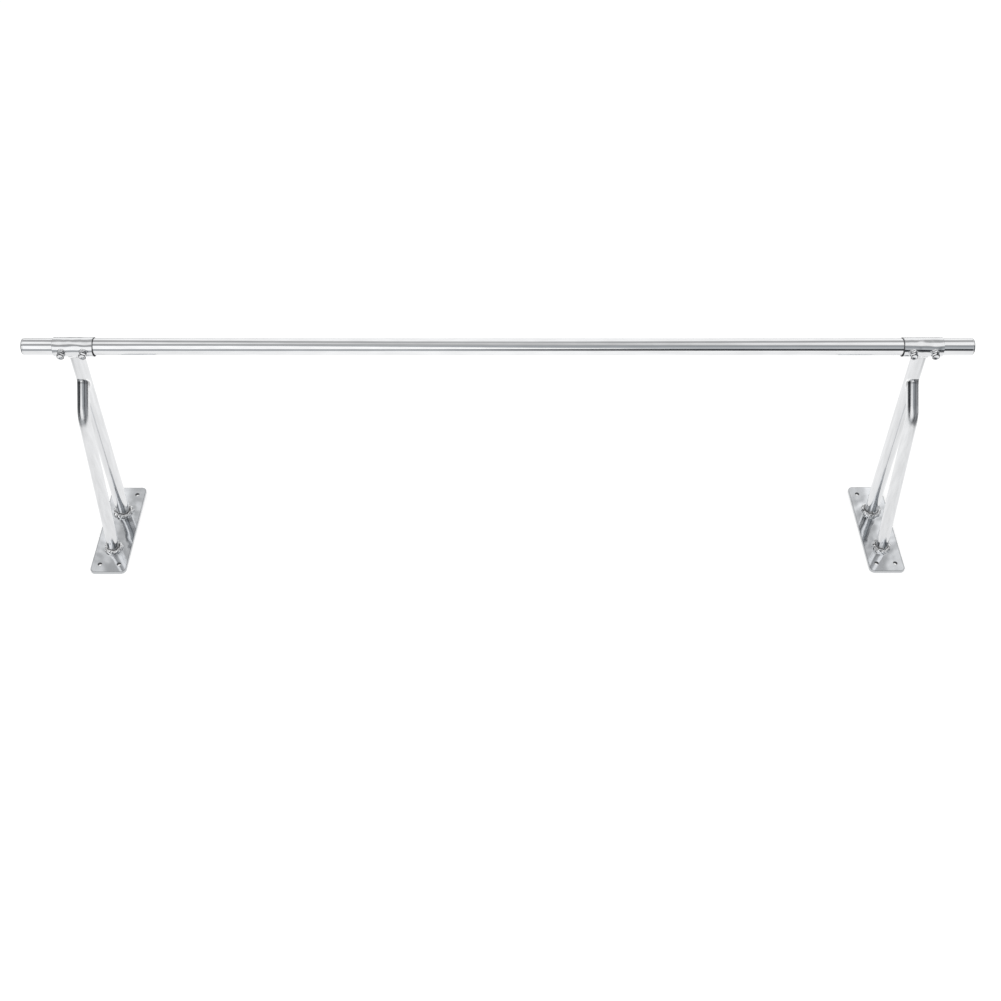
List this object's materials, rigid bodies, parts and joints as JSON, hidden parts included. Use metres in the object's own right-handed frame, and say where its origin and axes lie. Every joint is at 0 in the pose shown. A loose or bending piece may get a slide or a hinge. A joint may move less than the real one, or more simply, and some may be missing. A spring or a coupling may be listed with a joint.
{
  "type": "pull up bar",
  "caption": "Round steel pull-up bar clamped by set bolts in the sleeves of welded brackets, each with an arm, a bent brace and a screw-down plate.",
  "frame": {"origin": "midway between the two plates, on the plane that they are screwed to", "axes": "+X along the bar, +Y along the plates from the brace foot towards the arm, +Z out of the wall to the bar"},
  "size_m": [1.85, 0.25, 0.489],
  "materials": {
    "bar_steel": "bright polished",
    "cap_metal": "polished",
    "tube_steel": "polished",
    "plate_steel": "polished flat plate",
    "weld_metal": "rippled bead, bright",
    "fastener_steel": "bright zinc"
  },
  "bodies": {
    "bar": {"bar_tube": "bar_steel", "left_end_cap": "cap_metal", "right_end_cap": "cap_metal"},
    "left_bracket": {"left_base_plate": "plate_steel", "left_arm_tube": "tube_steel", "left_brace_tube": "tube_steel", "left_sleeve": "tube_steel", "left_arm_foot_weld": "weld_metal", "left_brace_foot_weld": "weld_metal", "left_brace_arm_weld": "weld_metal", "left_sleeve_weld": "weld_metal", "left_outer_nut": "fastener_steel", "left_inner_nut": "fastener_steel", "left_outer_nut_weld": "weld_metal", "left_inner_nut_weld": "weld_metal"},
    "right_bracket": {"right_base_plate": "plate_steel", "right_arm_tube": "tube_steel", "right_brace_tube": "tube_steel", "right_sleeve": "tube_steel", "right_arm_foot_weld": "weld_metal", "right_brace_foot_weld": "weld_metal", "right_brace_arm_weld": "weld_metal", "right_sleeve_weld": "weld_metal", "right_outer_nut": "fastener_steel", "right_inner_nut": "fastener_steel", "right_outer_nut_weld": "weld_metal", "right_inner_nut_weld": "weld_metal"},
    "left_outer_set_bolt": {"left_outer_bolt": "fastener_steel"},
    "left_inner_set_bolt": {"left_inner_bolt": "fastener_steel"},
    "right_outer_set_bolt": {"right_outer_bolt": "fastener_steel"},
    "right_inner_set_bolt": {"right_inner_bolt": "fastener_steel"}
  },
  "joints": [
    {"name": "left_bracket_slide", "type": "slide", "parent": "bar", "child": "left_bracket", "axis": [1, 0, 0], "range_m": [-0.06, 0.78]},
    {"name": "right_bracket_slide", "type": "slide", "parent": "bar", "child": "right_bracket", "axis": [-1, 0, 0], "range_m": [-0.06, 0.78]},
    {"name": "left_outer_bolt_travel", "type": "slide", "parent": "left_bracket", "child": "left_outer_set_bolt", "axis": [0, -1, 0], "range_m": [0, 0.006]},
    {"name": "left_inner_bolt_travel", "type": "slide", "parent": "left_bracket", "child": "left_inner_set_bolt", "axis": [0, -1, 0], "range_m": [0, 0.006]},
    {"name": "right_outer_bolt_travel", "type": "slide", "parent": "right_bracket", "child": "right_outer_set_bolt", "axis": [0, -1, 0], "range_m": [0, 0.006]},
    {"name": "right_inner_bolt_travel", "type": "slide", "parent": "right_bracket", "child": "right_inner_set_bolt", "axis": [0, -1, 0], "range_m": [0, 0.006]}
  ]
}
